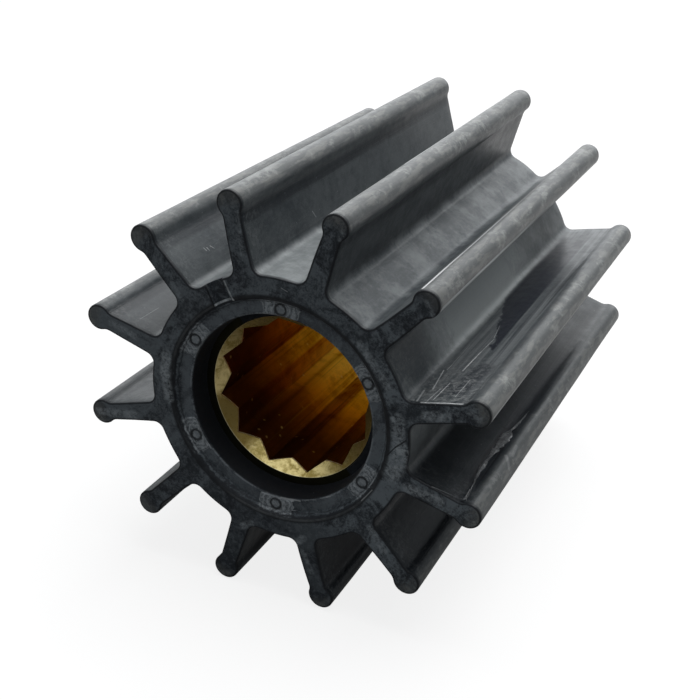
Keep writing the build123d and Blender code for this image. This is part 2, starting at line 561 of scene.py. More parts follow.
bpy.ops.mesh.normals_make_consistent(inside=False)
bpy.ops.transform.vertex_random(offset=shred_roughness * MM, seed=5)
close()
shred_start = len(impeller.data.vertices)
take(impeller)
shred.select_set(True)
bpy.ops.object.join()
print("with the shred:", len(impeller.data.polygons), "faces")

# %% [markdown]
# The camera stands where the photograph was taken from, in front of the impeller, to its right and above.

# %% Camera
camera_place = Vector((0.1014, -0.2516, 0.1674))
azimuth, elevation, roll = radians(23.68), radians(25.86), radians(3.04)
forward = Vector((-sin(azimuth) * cos(elevation), cos(azimuth) * cos(elevation), -sin(elevation)))
level = Vector((cos(azimuth), sin(azimuth), 0))
right = (Matrix.Rotation(-roll, 3, forward) @ level).normalized()
upward = right.cross(forward)

camera = bpy.data.objects.new("camera", bpy.data.cameras.new("camera"))
camera.data.lens = 62.24
camera.data.sensor_width = 36
camera.matrix_world = Matrix((right, upward, -forward)).transposed().to_4x4()
camera.location = camera_place
bpy.context.scene.collection.objects.link(camera)
bpy.context.scene.camera = camera
print("camera looks along", tuple(round(part, 3) for part in forward))

# %% [markdown]
# The finish has to know what kind of surface a point is on. The ends were trimmed and handled, so they are
# dusty, and the rounded edge between end and flank stays dark. Two values are written on the vertices for
# that, `end_face` and `rim`. Two more are for the ring: `groove` round the pin marks, and `land` on the pads,
# which grows from a pad's edge towards its pin. The last, `shred`, is for the torn flash. The materials read
# them back by name.

# %% Marks for the finish
in_plane = {vert.index for vert in impeller.data.vertices if abs(vert.co.y) > (half_length - 0.01) * MM}
beside_edge = set()
for mesh_edge in impeller.data.edges:
    first, second = mesh_edge.vertices
    if (first in in_plane) != (second in in_plane):
        beside_edge.update((first, second))

mark_names = ("end_face", "rim", "groove", "land", "shred")
land_reach = 4.8
for name in mark_names:
    impeller.data.attributes.new(name, "FLOAT", "POINT")
end_face, rim, groove, land, shred_mark = (impeller.data.attributes[name].data for name in mark_names)
for vert in impeller.data.vertices:
    end_face[vert.index].value = float(abs(vert.normal.y) > 0.5)
    rounded = half_length - edge_round + 0.02 < abs(vert.co.y) / MM < half_length - 0.01
    rim[vert.index].value = float(vert.index in beside_edge or rounded)
    shred_mark[vert.index].value = float(vert.index >= shred_start)
    radius, _, along = polar(vert.co)
    if along < pad_top + pin_groove + 0.1 and mouth_radius < radius < ring_edge_radius:
        nearest = to_nearest_pin(vert)
        groove[vert.index].value = float(abs(nearest - pin_mark_radius) < 1.4 * pin_groove)
        if along < pad_top + 0.25:
            land[vert.index].value = max(0.0, 1 - nearest / land_reach)
for name, marks in zip(mark_names, (end_face, rim, groove, land, shred_mark)):
    print(name, "vertices:", sum(mark.value > 0 for mark in marks))

# %% [markdown]
# Materials are trees of nodes. Written out in full they are long, so short helpers add the nodes that come up
# most. All of them add to `tree`, the tree that is being built, so each group and each material begins by
# setting it. Most of what they make is a mask, a value from 0 to 1 that says where a mark shows.

# %% Helpers for node trees
def add(kind, links=None, **settings):
    """Add a node. `links` gives its inputs, by name or number, as a value or as an output socket to link."""
    node = tree.nodes.new(kind)
    for name, value in settings.items():
        setattr(node, name, value)
    for name, value in (links or {}).items():
        if isinstance(value, bpy.types.NodeSocket):
            tree.links.new(value, node.inputs[name])
        else:
            node.inputs[name].default_value = value
    return node


def calculate(operation, first, second=0.0, third=0.0):
    return add("ShaderNodeMath", {0: first, 1: second, 2: third}, operation=operation).outputs[0]


def scaled(value, by, plus):
    """The value times one number, plus another."""
    return calculate("MULTIPLY_ADD", value, by, plus)


def times(*values):
    """The product of several masks or numbers."""
    product = values[0]
    for value in values[1:]:
        product = calculate("MULTIPLY", product, value)
    return product


def larger(first, second):
    return calculate("MAXIMUM", first, second)


def outside(mask):
    """The mask turned round, so that it is 1 where it was 0."""
    return calculate("SUBTRACT", 1.0, mask)


def remap(value, low, high, to_low=0.0, to_high=1.0):
    """Values from low to high become to_low to to_high, with a smooth start and end."""
    node = add("ShaderNodeMapRange", {0: value, 1: low, 2: high, 3: to_low, 4: to_high},
               interpolation_type="SMOOTHSTEP")
    return node.outputs[0]


def band(value, centre, half_width):
    """A mask that is 1 where the value is at the centre and fades to 0 at half a width either side."""
    away = calculate("ABSOLUTE", calculate("SUBTRACT", value, centre))
    return remap(away, half_width, half_width * 0.35)


# %% [markdown]
# The finish is built up as a painter would, one thin coat after another. `lay` puts a coat over the colour so
# far, only where its masks say. The coats' patterns come from noise, read at the place on the piece.

# %% Helpers for colour and pattern
def mix_colour(share, first, second):
    return add("ShaderNodeMix", {0: share, 6: first, 7: second}, data_type="RGBA").outputs[2]


def lay(colour, coat, *masks):
    """Lay a coat, given as red, green and blue, over a colour, as strongly as the product of the masks."""
    return mix_colour(times(*masks), colour, (*coat, 1))


def noise(place, scale, detail=4.0, roughness=0.55, distortion=0.0):
    node = add("ShaderNodeTexNoise", {"Vector": place, "Scale": scale, "Detail": detail,
                                      "Roughness": roughness, "Distortion": distortion})
    return node.outputs["Fac"]


def vector_step(operation, first, second, output=0):
    return add("ShaderNodeVectorMath", {0: first, 1: second}, operation=operation).outputs[output]


def stretch(vector, scale):
    return add("ShaderNodeVectorMath", {0: vector, "Scale": scale}, operation="SCALE").outputs[0]


def object_place():
    """Place on the piece in millimetres."""
    return stretch(add("ShaderNodeTexCoord").outputs["Object"], 1 / MM)


def parts_of(vector):
    """The x, y and z of a vector."""
    return add("ShaderNodeSeparateXYZ", {0: vector}).outputs


# %% [markdown]
# A pattern that both materials use is a node group: it is built once, and each use gives it its own values.

# %% Helpers for node groups
def new_group(name, inputs):
    """A node group with number or vector inputs, given with their first values, and one output, Mask."""
    group = bpy.data.node_groups.new(name, "ShaderNodeTree")
    for socket_name, value in inputs.items():
        kind = "NodeSocketVector" if isinstance(value, tuple) else "NodeSocketFloat"
        group.interface.new_socket(socket_name, in_out="INPUT", socket_type=kind).default_value = value
    group.interface.new_socket("Mask", in_out="OUTPUT", socket_type="NodeSocketFloat")
    return group, group.nodes.new("NodeGroupInput").outputs, group.nodes.new("NodeGroupOutput").inputs["Mask"]


def use(group, **inputs):
    """Place a group in the tree with its own values, and return its mask."""
    values = {name.replace("_", " "): value for name, value in inputs.items()}
    return add("ShaderNodeGroup", values, node_tree=group).outputs["Mask"]


# %% [markdown]
# Both the rubber and the brass show marks that run along the axis: the mould was drawn off this way, and the
# broach cut the bore this way. One group makes such streaks, from noise that is stretched along Y.

# %% Group: streaks along the axis
tree, given, result = new_group("axial_streaks", {"Fineness": 1.0, "Length": 30.0, "Low": 0.4, "High": 0.6})
squeeze = add("ShaderNodeCombineXYZ", {0: given["Fineness"], 1: calculate("DIVIDE", 1.0, given["Length"]),
                                       2: given["Fineness"]}).outputs[0]
stretched = vector_step("MULTIPLY", object_place(), squeeze)
tree.links.new(remap(noise(stretched, 1.0, 3.0, 0.6), given["Low"], given["High"]), result)
streaks = tree
print("group:", streaks.name)

# %% [markdown]
# Dust, bloom and stains lie in soft patches with a finer grain inside them. A large noise makes the patches
# and a small one breaks them up.

# %% Group: patches
tree, given, result = new_group("patches", {
    "Patch Scale": 0.3, "Grain Scale": 3.0, "Swirl": 0.6, "Low": 0.4, "High": 0.65})
place = object_place()
large = noise(place, given["Patch Scale"], 5.0, 0.66, given["Swirl"])
small = noise(place, given["Grain Scale"], 5.0, 0.7)
both = calculate("ADD", times(large, 0.68), times(small, 0.32))
tree.links.new(remap(both, given["Low"], given["High"]), result)
patches = tree
print("group:", patches.name)

# %% [markdown]
# Lint and grit are small pale points, few and unevenly spread. The cells of a Voronoi texture give the
# points, and noise thins them out.

# %% Group: specks
tree, given, result = new_group("specks", {"Density": 0.8, "Size": 0.12, "Share": 0.5})
cells = add("ShaderNodeTexVoronoi", {"Vector": object_place(), "Scale": given["Density"]}).outputs
point = remap(cells["Distance"], given["Size"], 0.0)
chosen = remap(noise(cells["Position"], 3.1, 1.0), given["Share"], calculate("ADD", given["Share"], 0.02))
tree.links.new(times(point, chosen), result)
specks = tree
print("group:", specks.name)

# %% [markdown]
# A round piece is also finished by radius: the beads are scuffed, the rings have marks that run round. This
# group gives the distance from the axis in millimetres.

# %% Group: radius
tree, given, result = new_group("radius", {"Axis Height": axis_height})
across, _, height = parts_of(object_place())
up = calculate("SUBTRACT", height, given["Axis Height"])
tree.links.new(calculate("SQRT", calculate("ADD", times(across, across), times(up, up))), result)
radius_group = tree
print("group:", radius_group.name)

# %% [markdown]
# Some marks are found only on one side of the rings. `sector` is a mask for the part of a ring around one
# angle.

# %% Group: sector
tree, given, result = new_group("sector", {"Axis Height": axis_height, "Angle": 90.0, "Half Arc": 20.0})
across, _, height = parts_of(object_place())
up = calculate("SUBTRACT", height, given["Axis Height"])
here = calculate("DEGREES", calculate("ARCTAN2", up, across))
turned = calculate("WRAP", calculate("SUBTRACT", here, given["Angle"]), 180.0, -180.0)
fade_start = times(given["Half Arc"], 0.6)
tree.links.new(remap(calculate("ABSOLUTE", turned), given["Half Arc"], fade_start), result)
sector = tree
print("group:", sector.name)

# %% [markdown]
# Single scratches, and the painted highlights and shade that run in lines, are lines on the surface. The
# group measures how far a place is from the straight line between two points, all in millimetres.

# %% Group: scratches and painted lines
tree, given, result = new_group("scratch_and_painted_line", {
    "Start": (0.0, 0.0, 0.0), "End": (0.0, 1.0, 0.0), "Half Width": 0.1})
from_start = vector_step("SUBTRACT", object_place(), given["Start"])
whole_way = vector_step("SUBTRACT", given["End"], given["Start"])
share = calculate("DIVIDE", vector_step("DOT_PRODUCT", from_start, whole_way, "Value"),
                  vector_step("DOT_PRODUCT", whole_way, whole_way, "Value"))
share = add("ShaderNodeClamp", {"Value": share, "Min": 0.0, "Max": 1.0}).outputs[0]
away = vector_step("DISTANCE", from_start, stretch(whole_way, share), "Value")
tree.links.new(remap(away, given["Half Width"], times(given["Half Width"], 0.4)), result)
scratch_and_painted_line = tree
print("group:", scratch_and_painted_line.name)

# %% [markdown]
# Moulded rubber is nearly black, with a satin skin. What the eye sees is mostly what lies on it: grey dust in
# patches on the ends, whitish scuffs along the beads, streaks down the flanks. So the colour starts from a
# deep blue-black, and each mark is laid over it with its own mask. The first masks say which form of the
# moulding a place belongs to.

# %% Material: rubber
rubber = bpy.data.materials.new("moulded_rubber")
rubber.use_nodes = True
tree = rubber.node_tree
skin = tree.nodes["Principled BSDF"].inputs

on_end, on_rim, on_groove, on_land, on_shred = (
    add("ShaderNodeAttribute", attribute_name=name).outputs["Fac"] for name in mark_names)
off_end = outside(on_end)
on_pads = remap(on_land, 0.0, 0.12)
radius = use(radius_group)
along = parts_of(object_place())[1]
from_middle = calculate("ABSOLUTE", along)
near_end = remap(from_middle, half_length - 2.4, half_length - 2.0)
in_mouth = times(remap(radius, mouth_radius + 0.2, mouth_radius - 0.1),
                 remap(from_middle, insert_half_length - 1.0, insert_half_length))
in_notch = times(use(sector, Angle=float(notch_angle), Half_Arc=8.0), on_end,
                 remap(radius, ring_edge_radius, ring_edge_radius + 0.3),
                 remap(along, 0.1 - half_length, 0.3 - half_length))
print("material:", rubber.name, "masks from the form")

# %% [markdown]
# First the large tones: the deep base with its soft smudges, the dust on the ends in two sizes, and soft
# streaks and a fine grain down the flanks. The dust coat is made stronger to the right of the ends and weaker
# towards the bottom, so that the ends are lighter to the right and darker towards the bottom.

# %% Rubber: base and dust
smudge = use(patches, Patch_Scale=0.07, Grain_Scale=0.5, Low=0.42, High=0.6)
dust = use(patches, Patch_Scale=0.12, Grain_Scale=2.2, Swirl=1.2, Low=0.43, High=0.57)
fine_dust = use(patches, Patch_Scale=0.9, Grain_Scale=4.0, Low=0.46, High=0.62)
flank_streaks = use(streaks, Fineness=0.35, Length=80.0, Low=0.4, High=0.7)
fine_streaks = use(streaks, Fineness=3.0, Length=60.0, Low=0.52, High=0.75)
fine_grain = use(streaks, Fineness=1.7, Length=1.6, Low=0.48, High=0.66)
at_right = use(sector, Angle=-15.0, Half_Arc=75.0)
at_bottom = use(sector, Angle=-88.0, Half_Arc=38.0)

end_base = mix_colour(smudge, (0.011, 0.014, 0.019, 1), (0.024, 0.03, 0.036, 1))
side_base = mix_colour(smudge, (0.028, 0.034, 0.039, 1), (0.06, 0.068, 0.073, 1))
colour = mix_colour(on_end, side_base, end_base)
colour = lay(colour, (0.155, 0.178, 0.195), dust, on_end, scaled(at_right, 0.35, 0.65), outside(in_notch),
             scaled(at_bottom, -0.6, 1.0))
colour = lay(colour, (0.17, 0.19, 0.21), fine_dust, on_end, 0.4)
colour = lay(colour, (0.06, 0.068, 0.073), flank_streaks, off_end, 0.4)
colour = lay(colour, (0.075, 0.085, 0.09), fine_grain, off_end, 0.3)
print("coats: base, dust, streaks and grain")

# %% [markdown]
# A pale bloom lies on the hub between the blades, and painted light makes it differ from valley to valley: it
# is stronger in the lit valleys and weaker in the shaded ones, and the one at 30 degrees fades towards both
# ends. The neck under each bead and the low side are painted darker, as painted shade under the beads and on
# the side that the light from above misses.

# %% Rubber: bloom with painted light, and painted shade
painted_shade_black = (0.006, 0.008, 0.012)
under_bead_radius = 41.5

# Painted light: the bloom's share is raised in the lit valleys at 30 and 90 degrees, lowered in the shaded
# ones at 60 and -30 degrees, and at 30 degrees it fades towards both ends
bloom_and_painted_light = scaled(smudge, 0.25, 0.32)
for valley, more in ((30.0, 0.95), (60.0, -0.34), (90.0, 0.12), (-30.0, -0.6)):
    bloom_and_painted_light = scaled(use(sector, Angle=valley, Half_Arc=20.0), more, bloom_and_painted_light)
both_ends = larger(remap(along, -16.0, -50.0), remap(along, 2.0, 40.0, 0.0, 0.8))
valley_30_end_fade = times(use(sector, Angle=30.0, Half_Arc=20.0), both_ends, -1.35)
bloom_and_painted_light = larger(calculate("ADD", bloom_and_painted_light, valley_30_end_fade), 0.0)
bloom_patches = use(patches, Patch_Scale=0.25, Grain_Scale=1.8, Low=0.4, High=0.6)
bloom_and_painted_light = times(bloom_and_painted_light, scaled(bloom_patches, 0.35, 0.78))
colour = lay(colour, (0.28, 0.30, 0.303), remap(radius, hub_radius + 2.0, hub_radius + 0.2), off_end,
             bloom_and_painted_light, remap(radius, hub_radius - 0.5, hub_radius - 0.2))

# Painted shade under each bead
colour = lay(colour, painted_shade_black, band(radius, under_bead_radius, 2.0), off_end,
             scaled(flank_streaks, -0.4, 0.85))
# Painted shade on the low side, which the light from above misses
colour = lay(colour, painted_shade_black, use(sector, Angle=-55.0, Half_Arc=62.0), off_end,
             remap(radius, 45.5, 43.5), 0.75)
print("coats: bloom, necks and low side")

# %% [markdown]
# The beads rub on the pump's wall, so they are greyer, with short scuffs and flakes. The upper flank of the
# blade at 15 degrees has been rubbed pale, but for a large dark patch towards the far end and a small oval
# one near the front. Grains of dust lie near the front edge of every flank.

# %% Rubber: beads and rubbed flank
on_bead = remap(radius, 43.5, 46.5)
bead_scuff = use(streaks, Fineness=0.75, Length=6.0, Low=0.47, High=0.62)
flakes = use(streaks, Fineness=0.2, Length=8.0, Low=0.53, High=0.63)
flake_patches = use(patches, Patch_Scale=0.5, Grain_Scale=3.2, Low=0.45, High=0.55)
colour = lay(colour, (0.095, 0.097, 0.095), on_bead, 0.6)
colour = lay(colour, (0.24, 0.24, 0.225), bead_scuff, on_bead, 0.34)
colour = lay(colour, (0.3, 0.31, 0.3), flakes, on_bead, flake_patches, 0.4)

upper_flank = times(use(sector, Angle=18.8, Half_Arc=2.2), off_end, remap(radius, 30.6, 31.6),
                    remap(radius, 44.0, 43.0))
rub_streaks = use(streaks, Fineness=0.9, Length=70.0, Low=0.42, High=0.6)
colour = lay(colour, (0.165, 0.177, 0.183), upper_flank, scaled(rub_streaks, 0.5, 0.12),
             remap(along, -54.0, -30.0, 0.5, 1.0))
patch_edge = calculate("ADD", scaled(radius, 4.2, along), times(noise(object_place(), 0.22, 5.0, 0.65), 22.0))
colour = lay(colour, (0.006, 0.008, 0.015), upper_flank, remap(patch_edge, 142.0, 143.6),
             remap(radius, 39.1, 38.3), remap(along, 58.0, 40.0), 0.9)
oval = use(scratch_and_painted_line, Start=(36.5, -50.0, 57.9), End=(38.0, -39.0, 58.3), Half_Width=3.2)
colour = lay(colour, (0.012, 0.014, 0.02), oval, upper_flank, 0.6)
colour = lay(colour, (0.24, 0.25, 0.25), upper_flank, fine_dust,
             remap(along, 30.0 - half_length, 4.0 - half_length), 0.75)
colour = lay(colour, (0.16, 0.17, 0.17), fine_dust, remap(along, 12.0 - half_length, 1.0 - half_length),
             off_end, 0.35)
colour = lay(colour, (0.14, 0.14, 0.14), fine_streaks, off_end, 0.12)
print("coats: beads, rubbed flank and grains")

# %% [markdown]
# The ring has marks that run round it: a dusty floor, dark lines of painted shade down its slope, a pale line
# along its edge that is a painted highlight on two sides, broken up by dust, and a pale line where the lip of
# the mouth catches dust. The rubber flowed last round the pins, so the pads are paler, with ripples about
# each pin. They are a sine of the distance to the pin, shaken by noise. The mouth and the grooves round the
# pins are painted dark as shade, and the rim of every face stays dark.

# %% Rubber: ring, pads and mouth
lip_line_radius = 21.35
floor_tone_radius = 22.6
low_slope_radius = 24.25
high_slope_radius = 24.9
edge_line_radius = 25.4

colour = lay(colour, (0.13, 0.147, 0.162), band(radius, floor_tone_radius, 1.6), near_end,
             scaled(dust, 0.4, 0.4), scaled(at_bottom, -0.4, 1.0))
colour = lay(colour, (0.34, 0.365, 0.385), on_pads, scaled(fine_dust, 0.4, 0.45))
shaken = times(noise(object_place(), 0.45, 4.0, 0.7), 22.0)
ripple = calculate("SINE", scaled(on_land, 27.0, shaken))
off_pin = times(on_pads, remap(on_land, 0.76, 0.68))
colour = lay(colour, (0.6, 0.63, 0.65), off_pin, remap(ripple, 0.5, 1.0), 0.35)
colour = lay(colour, (0.01, 0.012, 0.016), off_pin, remap(ripple, -0.75, -1.0), 0.6)

# Painted shade: dark lines down the slope of the ring
uneven = calculate("ADD", radius, remap(noise(object_place(), 0.8, 2.0), 0.0, 1.0, -0.25, 0.25))
slope_lines = larger(band(uneven, high_slope_radius, 0.35), times(band(uneven, low_slope_radius, 0.2), 0.6))
colour = lay(colour, (0.004, 0.005, 0.008), slope_lines, near_end, 0.9)
# Painted highlight along the ring's edge on two sides, broken up by dust
edge_highlight_sides = larger(use(sector, Angle=140.0, Half_Arc=30.0), use(sector, Angle=-74.0, Half_Arc=54.0))
colour = lay(colour, (0.65, 0.68, 0.7), band(radius, edge_line_radius, 0.34), near_end, edge_highlight_sides,
             scaled(dust, 0.5, 0.4))
colour = lay(colour, (0.3, 0.32, 0.34), band(radius, lip_line_radius, 0.25), near_end,
             scaled(dust, 0.4, 0.05))
# Painted shade inside the mouth and in the grooves round the pin marks
colour = lay(colour, (0.003, 0.0035, 0.006), in_mouth, 0.92)
colour = lay(colour, (0.004, 0.004, 0.005), on_groove, 0.8)
colour = lay(colour, (0.006, 0.007, 0.009), on_rim, 0.9)
colour = lay(colour, (0.008, 0.01, 0.013), remap(from_middle, half_length - 1.0, half_length - 0.5), off_end,
             remap(radius, hub_radius - 1.0, hub_radius), 0.75)
print("coats: ring, pads, mouth and rims")

# %% [markdown]
# Handling has left smears of dust on the front. Each is a short wide line, broken up by patches, and a narrow
# one is fainter. A little grit lies on everything.

# %% Rubber: smears and grit
# Radius and angle of both ends of each smear, and half its width
smears = [
    ((46.0, -165.0), (36.3, -163.8), 1.3), ((41.5, 164.8), (35.6, 165.0), 1.1),
    ((33.8, 14.1), (38.0, 14.3), 1.5), ((43.6, 15.2), (44.8, 13.6), 1.1), ((44.6, 46.2), (44.1, 42.2), 0.7),
    ((31.5, -16.2), (38.5, -14.8), 1.5), ((27.6, -14.5), (28.4, -3.3), 2.6),
    ((27.2, 165.8), (26.8, 176.0), 1.7), ((26.8, 176.0), (26.2, 188.0), 1.5),
    ((43.0, 102.6), (34.4, 103.8), 0.6), ((34.1, 136.2), (30.2, 137.4), 0.7),
    ((45.3, 72.6), (42.6, 72.7), 0.6), ((31.2, -103.5), (29.6, -100.5), 1.2),
    ((30.6, -78.5), (29.6, -75.5), 1.2), ((33.0, -77.0), (38.0, -75.2), 0.9),
    ((31.0, -43.0), (36.5, -44.5), 1.1), ((28.0, -1.0), (27.6, 12.0), 2.0), ((27.5, 27.0), (27.2, 48.0), 1.2),
]
full_smear = 1.7


def on_front(radius, angle):
    """A place in the plane of the front end, in millimetres."""
    return tuple(spot(radius, angle, -half_length) / MM)


smear_patches = use(patches, Patch_Scale=1.1, Grain_Scale=7.0, Low=0.38, High=0.6)
smear_share = times(smear_patches, scaled(fine_dust, 0.35, 0.6))
for start, end, half_width in smears:
    smear = use(scratch_and_painted_line, Start=on_front(*start), End=on_front(*end), Half_Width=half_width)
    colour = lay(colour, (0.36, 0.39, 0.41), smear, on_end, smear_share, min(1.0, half_width / full_smear))
grit = use(specks, Density=0.55, Size=0.1, Share=0.55)
colour = lay(colour, (0.35, 0.36, 0.37), grit, 0.5)
print("smears:", len(smears))

# %% [markdown]
# Cracks and scratches are single marks, so each has its own place, in millimetres, read off the surface. Dark
# cracks run beside the tear on the blade at -15 degrees, and a cut crosses the hub's end. One dark line is
# painted shade along one edge of the notch. The scratches are pale, and most are on the rubbed flank. One
# pale line is a painted highlight along the other edge of the notch.

# %% Rubber: cracks, scratches and painted edges of the notch
# Both ends of each dark line, and half its width
cracks_and_shade_lines = [
    ((40.9, -52.0, 37.5), (40.0, -38.0, 37.5), 0.35), ((40.0, -38.0, 37.5), (40.0, -24.5, 37.4), 0.35),
    ((39.3, -24.4, 37.6), (42.0, -23.6, 37.4), 0.35), ((42.4, -50.0, 37.1), (42.3, -31.0, 37.2), 0.35),
    # Painted shade along one edge of the notch, then the cut across the hub's end in two pieces
    ((-16.8, -56.7, 70.35), (-14.7, -56.9, 66.7), 0.28), ((25.3, -57.0, 43.2), (27.0, -57.0, 45.6), 0.2),
    ((27.0, -57.0, 45.6), (29.1, -57.0, 47.7), 0.24),
]
# Both ends of each pale line, half its width, and how pale it is
scratches_and_highlight = [
    ((31.5, -56.6, 56.9), (39.8, -56.4, 58.6), 0.34, 0.7),
    ((35.3, -56.7, 38.9), (41.3, -55.6, 37.3), 0.2, 0.3),
    ((1.0, -55.4, 24.7), (5.6, -55.4, 25.2), 0.22, 0.4),
    ((7.0, -55.4, 25.9), (12.6, -55.4, 28.6), 0.2, 0.4),
    ((20.4, -56.9, 30.9), (22.6, -57.0, 34.2), 0.16, 0.4),
    # Painted highlight along the other edge of the notch
    ((-12.3, -56.8, 72.75), (-10.2, -56.8, 69.0), 0.32, 0.7),
    ((31.4, -50.2, 56.75), (30.1, -40.7, 56.5), 0.17, 0.6),
    ((34.2, -40.8, 57.4), (34.5, -30.7, 57.5), 0.2, 0.6),
    ((34.5, -30.7, 57.5), (34.9, -23.3, 57.5), 0.1, 0.5),
    ((33.4, -55.3, 57.2), (33.8, -47.0, 57.3), 0.14, 0.6),
    ((37.2, -53.5, 58.1), (37.3, -45.2, 58.1), 0.12, 0.45),
    ((30.8, -40.6, 56.6), (30.8, -26.9, 56.6), 0.08, 0.45),
    ((30.4, -56.0, 56.5), (29.9, -51.0, 56.4), 0.25, 0.45),
    ((32.4, -56.0, 57.0), (32.9, -50.0, 57.1), 0.12, 0.5),
    ((34.7, -22.7, 57.5), (33.5, -15.0, 57.3), 0.08, 0.5),
    ((-35.1, -53.6, 57.7), (-35.0, -46.5, 57.6), 0.1, 0.35),
    ((0.6, -57.0, 74.1), (2.0, -57.0, 73.6), 0.12, 0.4),
    ((-6.8, -29.0, 80.2), (-6.4, -28.0, 78.7), 0.12, 0.4),
    ((-24.28, -45.0, 73.42), (-23.77, -44.83, 72.85), 0.16, 0.4),
    ((-24.09, -44.06, 73.21), (-23.58, -43.94, 72.63), 0.16, 0.4),
    ((-24.08, -42.77, 73.2), (-23.46, -42.14, 72.49), 0.16, 0.4),
    ((10.2, -20.0, 91.35), (10.15, 50.0, 91.5), 0.35, 0.5),
    ((43.9, -35.5, 37.4), (45.6, -38.4, 36.2), 0.6, 0.2),
    ((44.4, -30.0, 37.2), (44.9, -34.0, 37.0), 0.5, 0.17),
]
for start, end, half_width in cracks_and_shade_lines:
    dark_line = use(scratch_and_painted_line, Start=start, End=end, Half_Width=half_width)
    colour = lay(colour, (0.003, 0.003, 0.005), dark_line, 0.85)
for start, end, half_width, pale in scratches_and_highlight:
    line = use(scratch_and_painted_line, Start=start, End=end, Half_Width=half_width)
    colour = lay(colour, (pale, pale * 1.03, pale * 1.04), line, scaled(fine_dust, 0.4, 0.5))
print("cracks:", len(cracks_and_shade_lines), "scratches:", len(scratches_and_highlight))

# %% [markdown]
# Four beads have a painted highlight along them, a pale line that is bright near the front and fades towards
# the far end. The shred of flash is paler than the rubber round it. It is the last coat.

# %% Rubber: painted highlights on the beads, and shred
# Both ends of each painted highlight on a bead, and half its width
bead_highlight_lines = [
    ((45.8, -55.6, 56.3), (45.9, 52.0, 56.6), 0.9), ((33.75, -55.6, 76.45), (34.2, 52.0, 76.7), 0.9),
    ((-13.35, -55.6, 91.1), (-13.5, 52.0, 91.2), 0.5), ((29.55, -55.6, 79.95), (30.1, 52.0, 80.05), 0.45),
]
for start, end, half_width in bead_highlight_lines:
    line = use(scratch_and_painted_line, Start=start, End=end, Half_Width=half_width)
    colour = lay(colour, (0.9, 0.92, 0.93), line, remap(along, 25.0, -50.0, 0.1, 1.0),
                 scaled(rub_streaks, 0.45, 0.5))
colour = lay(colour, (0.19, 0.195, 0.2), on_shred, scaled(fine_dust, 0.5, 0.45))
tree.links.new(colour, skin["Base Color"])
print("bead highlight lines:", len(bead_highlight_lines))

# %% [markdown]
# The sides of the blades came off a polished mould and are satin. The ends are duller. The relief is only a
# fine grain, deeper on the pads where the rubber flowed and rippled. A little sheen gives the dusty glow that
# such rubber has at a flat angle.

# %% Rubber: gloss and relief
gloss = remap(noise(object_place(), 0.35, 5.0, 0.6), 0.3, 0.7, 0.31, 0.42)
gloss = calculate("ADD", gloss, times(on_end, 0.2))
gloss = calculate("ADD", gloss, times(in_mouth, 0.3))
tree.links.new(gloss, skin["Roughness"])
skin["Specular IOR Level"].default_value = 0.25
skin["Sheen Weight"].default_value = 0.03
skin["Sheen Roughness"].default_value = 0.4

grain = use(streaks, Fineness=1.3, Length=2.0, Low=0.25, High=0.75)
grain_relief = times(grain, calculate("ADD", 0.6, on_end))
streak_relief = times(fine_streaks, off_end, 0.5)
pad_relief = times(calculate("ADD", fine_dust, times(ripple, 0.4)), on_pads, 2.0)
relief = calculate("ADD", calculate("ADD", grain_relief, streak_relief), pad_relief)
bump = add("ShaderNodeBump", {"Strength": 0.25, "Distance": 0.1 * MM, "Height": relief})
tree.links.new(bump.outputs["Normal"], skin["Normal"])

impeller.data.materials.clear()
impeller.data.materials.append(rubber)
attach(impeller, "root")
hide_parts("rubber_impeller")
print("material:", rubber.name, len(tree.nodes), "nodes")

# %% [markdown]
# The insert is brass, turned outside and broached inside. The countersunk teeth are pale and cleanly cut, the
# flat face is dull, and the bore is stained brown to amber. The solid's shape is right, so it stays, and only
# its finish is new. The countersink is at 45 degrees, so radius and depth add up to one number on it, and a
# place with a larger sum is in the bore.

# %% Material: brass
brass = bpy.data.materials.new("stained_brass")
brass.use_nodes = True
tree = brass.node_tree
metal = tree.nodes["Principled BSDF"].inputs
countersink_radius = 18.75

radius = use(radius_group)
along = parts_of(object_place())[1]
depth = calculate("SUBTRACT", insert_half_length, calculate("ABSOLUTE", along))
past_edge = calculate("SUBTRACT", calculate("ADD", radius, depth), countersink_radius)
in_bore = remap(past_edge, 0.0, 0.12)
stain = use(streaks, Fineness=0.3, Length=60.0, Low=0.4, High=0.58)
tarnish = use(patches, Patch_Scale=0.3, Grain_Scale=1.5, Low=0.42, High=0.62)
print("material:", brass.name, "masks from the form")

# %% [markdown]
# The bore is stained brown to amber. Painted light makes it a paler amber deep inside, and painted shade
# makes it nearly black at its mouth. Streaks along the broach's way and a large patchy tone decide how much
# amber shows through the brown.

# %% Brass: stained bore, with painted light and shade
glow_zone = use(patches, Patch_Scale=0.06, Grain_Scale=0.35, Low=0.42, High=0.58)
fine_stain = use(streaks, Fineness=1.4, Length=70.0, Low=0.5, High=0.7)
bright_lines = use(streaks, Fineness=1.1, Length=90.0, Low=0.62, High=0.72)
lint = use(specks, Density=0.3, Size=0.16, Share=0.45)

# Painted light: the amber turns paler and yellower deeper in the bore
amber = mix_colour(remap(depth, 18.0, 48.0), (1.0, 0.33, 0.02, 1), (1.0, 0.68, 0.12, 1))
bore_metal = mix_colour(scaled(stain, 0.55, times(glow_zone, 0.45)), (0.32, 0.085, 0.006, 1), amber)
bore_metal = lay(bore_metal, (0.12, 0.03, 0.002), fine_stain, 0.35)
bore_metal = lay(bore_metal, (1.0, 0.62, 0.12), bright_lines, 0.4)
# Painted shade: darker towards the mouth of the bore
bore_metal = lay(bore_metal, (0.03, 0.007, 0.001), remap(depth, 42.0, 8.0, 0.0, 0.92))
bore_metal = lay(bore_metal, (0.9, 0.7, 0.35), lint, 0.6)
print("coats: bore")

